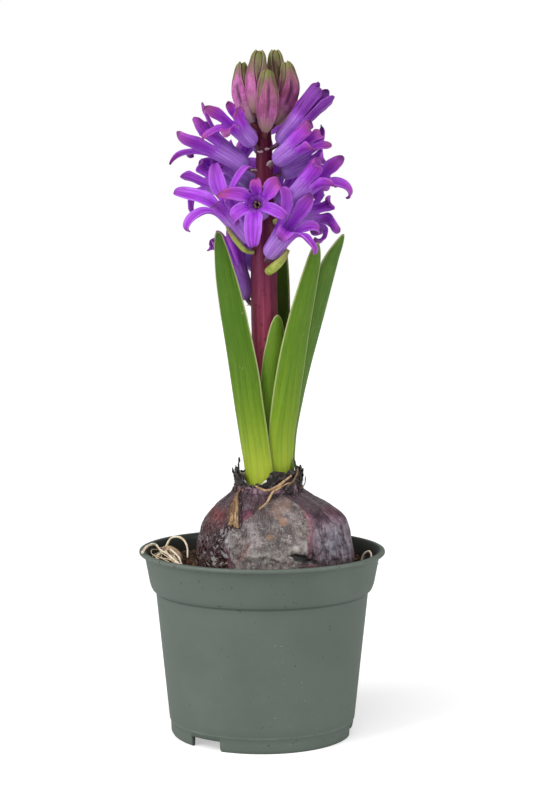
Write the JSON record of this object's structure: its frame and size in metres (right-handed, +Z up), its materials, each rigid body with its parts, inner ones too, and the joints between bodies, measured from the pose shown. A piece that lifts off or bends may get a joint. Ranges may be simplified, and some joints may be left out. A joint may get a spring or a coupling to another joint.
{
  "type": "potted hyacinth",
  "caption": "Potted hyacinth: half-buried bulb, upright strap leaves and a stalk with waxy six-lobed florets below closed buds",
  "frame": {"origin": "centre of the pot's rim circle, on the plane that the pot's foot stands on", "axes": "+Z up along the flower stalk, -Y towards the picture's camera, +X to the right in the picture"},
  "size_m": [0.09, 0.09, 0.2488],
  "materials": {
    "pot": "matte grey-green moulded plastic",
    "soil": "crumbly dark brown potting mix",
    "bulb": "purple and grey-lilac papery skin with a damp gloss",
    "dry_scale": "dried frayed scale, near black to straw",
    "sheath": "thin whitish waxy sheath",
    "root": "cream matte root",
    "stem": "waxy maroon-brown stalk",
    "leaf": "waxy green blade with fine parallel veins",
    "petal": "waxy violet petal with a darker midrib",
    "bud": "waxy mauve bud with a green tip",
    "bract": "waxy yellow-green bract"
  },
  "bodies": {
    "root": {"pot": "pot", "soil": "soil", "bulb": "bulb", "neck_scales": "dry_scale", "leaf_sheath": "sheath", "roots_left": "root", "root_right": "root", "stem": "stem", "leaf_front_left": "leaf", "leaf_front_right": "leaf", "leaf_back_right": "leaf", "leaf_inner_front": "leaf", "leaf_back": "leaf", "floret_upper_left": "petal", "floret_upper_right": "petal", "floret_middle_left": "petal", "floret_middle_right": "petal", "floret_lower_left": "petal", "floret_front_left": "petal", "floret_front": "petal", "floret_lower_right": "petal", "floret_front_right": "petal", "floret_back_right": "petal", "floret_low_back_left": "petal", "floret_back_left": "petal", "floret_back_upper_right": "petal", "floret_back_top": "petal", "floret_back": "petal", "floret_back_low": "petal", "bract_club": "bract", "bract_right": "bract", "bract_left": "bract", "bud_left": "bud", "bud_right": "bud", "bud_front": "bud", "bud_top_left": "bud", "bud_top_right": "bud", "bud_back_left": "bud", "bud_back_right": "bud", "bud_back": "bud"}
  },
  "joints": []
}
